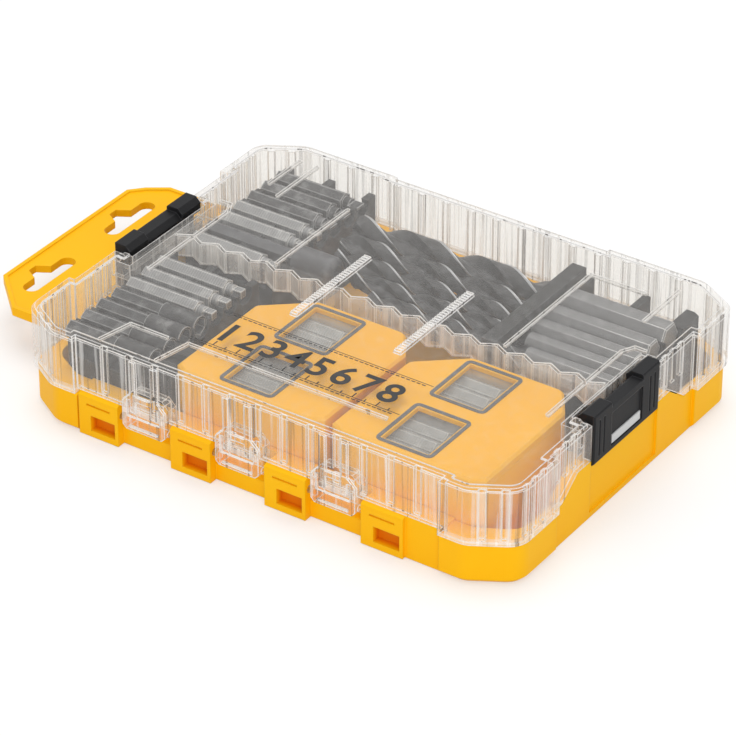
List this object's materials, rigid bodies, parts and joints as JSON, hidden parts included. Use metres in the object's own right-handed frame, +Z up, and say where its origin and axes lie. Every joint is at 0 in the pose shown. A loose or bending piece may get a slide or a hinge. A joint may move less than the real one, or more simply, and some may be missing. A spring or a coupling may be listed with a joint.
{
  "type": "drill bit case",
  "caption": "Shallow storage case for drill and driver bits: a moulded base with a hang tab, racks and small cassettes inside, and a clear front-hinged lid held by side latches",
  "frame": {"origin": "centre of the base's underside, on the surface that the case lies on", "axes": "+X to the right along the case's long side, away from the hang tab; +Y from the hinge side to the back; +Z up through the lid"},
  "size_m": [0.256, 0.162, 0.0423],
  "materials": {
    "case_plastic": "amber yellow moulded plastic, satin with a fine grain",
    "clear_plastic": "clear moulded plastic with ribs, slightly warm",
    "latch_plastic": "black moulded plastic, fine grain",
    "strip_plastic": "bare light grey strip",
    "rack_plastic": "dark grey moulded plastic",
    "cassette_plastic": "amber yellow moulded plastic, slightly paler than the case",
    "insert_plastic": "grey moulded plastic",
    "drill_steel": "black oxide steel, paler on the shank and along the lands",
    "bit_steel": "grey phosphated steel"
  },
  "bodies": {
    "case": {"base": "case_plastic", "hang_tab": "case_plastic", "rack_back_left": "rack_plastic", "rack_front_left": "rack_plastic", "rack_right": "rack_plastic", "twist_drill_06mm": "drill_steel", "twist_drill_07mm": "drill_steel", "twist_drill_08mm": "drill_steel", "twist_drill_09mm": "drill_steel", "twist_drill_10mm": "drill_steel", "twist_drill_12mm": "drill_steel", "bit_holder": "bit_steel", "phillips_bits": "bit_steel", "slotted_bits": "bit_steel", "square_bits": "bit_steel", "nut_drivers": "bit_steel", "cassette_left_tray": "cassette_plastic", "cassette_left_cover": "cassette_plastic", "cassette_left_panes": "clear_plastic", "cassette_left_insert": "insert_plastic", "cassette_left_bits": "bit_steel", "cassette_right_tray": "cassette_plastic", "cassette_right_cover": "cassette_plastic", "cassette_right_panes": "clear_plastic", "cassette_right_insert": "insert_plastic", "cassette_right_bits": "bit_steel"},
    "lid": {"lid": "clear_plastic"},
    "latch_right": {"latch_right": "latch_plastic", "latch_right_strip": "strip_plastic"},
    "latch_left": {"latch_left": "latch_plastic", "latch_left_strip": "strip_plastic"}
  },
  "joints": [
    {"name": "lid_hinge", "type": "hinge", "parent": "case", "child": "lid", "pos_m": [0, -0.077, 0.0121], "axis": [1, 0, 0], "range_deg": [0, 105]},
    {"name": "latch_right_pivot", "type": "hinge", "parent": "lid", "child": "latch_right", "pos_m": [0.1002, 0, 0.0379], "axis": [0, -1, 0], "range_deg": [0, 90]},
    {"name": "latch_left_pivot", "type": "hinge", "parent": "lid", "child": "latch_left", "pos_m": [-0.1002, 0, 0.0379], "axis": [0, 1, 0], "range_deg": [0, 90]}
  ]
}
